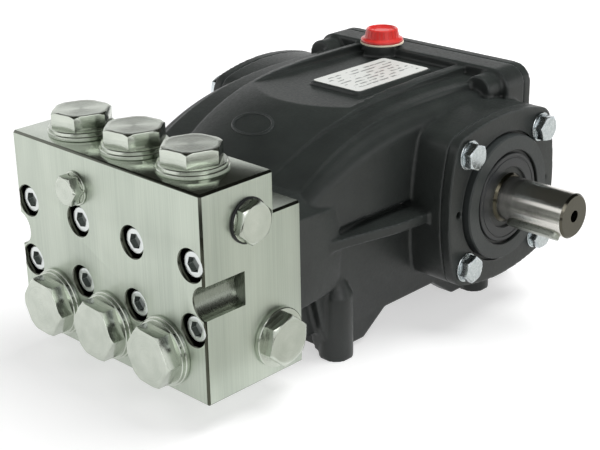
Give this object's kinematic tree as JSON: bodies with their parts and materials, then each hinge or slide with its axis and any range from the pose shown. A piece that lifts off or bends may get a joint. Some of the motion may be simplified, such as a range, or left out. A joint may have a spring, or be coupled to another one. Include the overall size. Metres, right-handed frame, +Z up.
{
  "type": "three-plunger high-pressure pump",
  "caption": "Horizontal plunger pump with a steel valve head, a black cast crankcase, a keyed drive shaft on one side and threaded inlet and outlet ports on the other.",
  "frame": {"origin": "middle of the four feet, on the plane that they stand on", "axes": "+X along the drive shaft towards its free end, +Y from the valve head to the rear cover, +Z up"},
  "size_m": [0.309, 0.354, 0.1827],
  "materials": {
    "painted_casting": "satin",
    "stainless_block": "ground",
    "stainless_fitting": "turned",
    "stainless_washer": "turned",
    "screw_steel": "satin",
    "zinc_steel": "zinc plated",
    "ground_steel": "ground",
    "key_steel": "satin",
    "seal_rubber": "matt",
    "cap_plastic": "gloss",
    "gasket_rubber": "matt",
    "sight_glass": "clear",
    "plate_film": "satin"
  },
  "bodies": {
    "pump": {"crankcase": "painted_casting", "rear_cover": "painted_casting", "right_bearing_cover": "painted_casting", "left_bearing_cover": "painted_casting", "left_bearing_cap": "painted_casting", "manifold": "stainless_block", "top_valve_cap_1": "stainless_fitting", "top_valve_cap_2": "stainless_fitting", "top_valve_cap_3": "stainless_fitting", "front_valve_plug_1": "stainless_fitting", "front_valve_plug_2": "stainless_fitting", "front_valve_plug_3": "stainless_fitting", "gauge_plug": "stainless_fitting", "outlet_plug": "stainless_fitting", "inlet_plug": "stainless_fitting", "gauge_washer": "stainless_washer", "outlet_washer": "stainless_washer", "head_bolt_1": "screw_steel", "head_bolt_2": "screw_steel", "head_bolt_3": "screw_steel", "head_bolt_4": "screw_steel", "head_bolt_5": "screw_steel", "head_bolt_6": "screw_steel", "head_bolt_7": "screw_steel", "head_bolt_8": "screw_steel", "right_cover_bolts": "zinc_steel", "left_cover_bolts": "zinc_steel", "rear_cover_bolts": "zinc_steel", "drain_plug": "zinc_steel", "shaft_seal": "seal_rubber", "oil_filler_cap": "cap_plastic", "oil_cap_gasket": "gasket_rubber", "oil_sight_glass": "sight_glass", "nameplate": "plate_film"},
    "shaft": {"crankshaft": "ground_steel", "shaft_key": "key_steel"}
  },
  "joints": [
    {"name": "crankshaft_spin", "type": "hinge", "parent": "pump", "child": "shaft", "pos_m": [0, 0.053, 0.091], "axis": [1, 0, 0], "continuous": true}
  ]
}
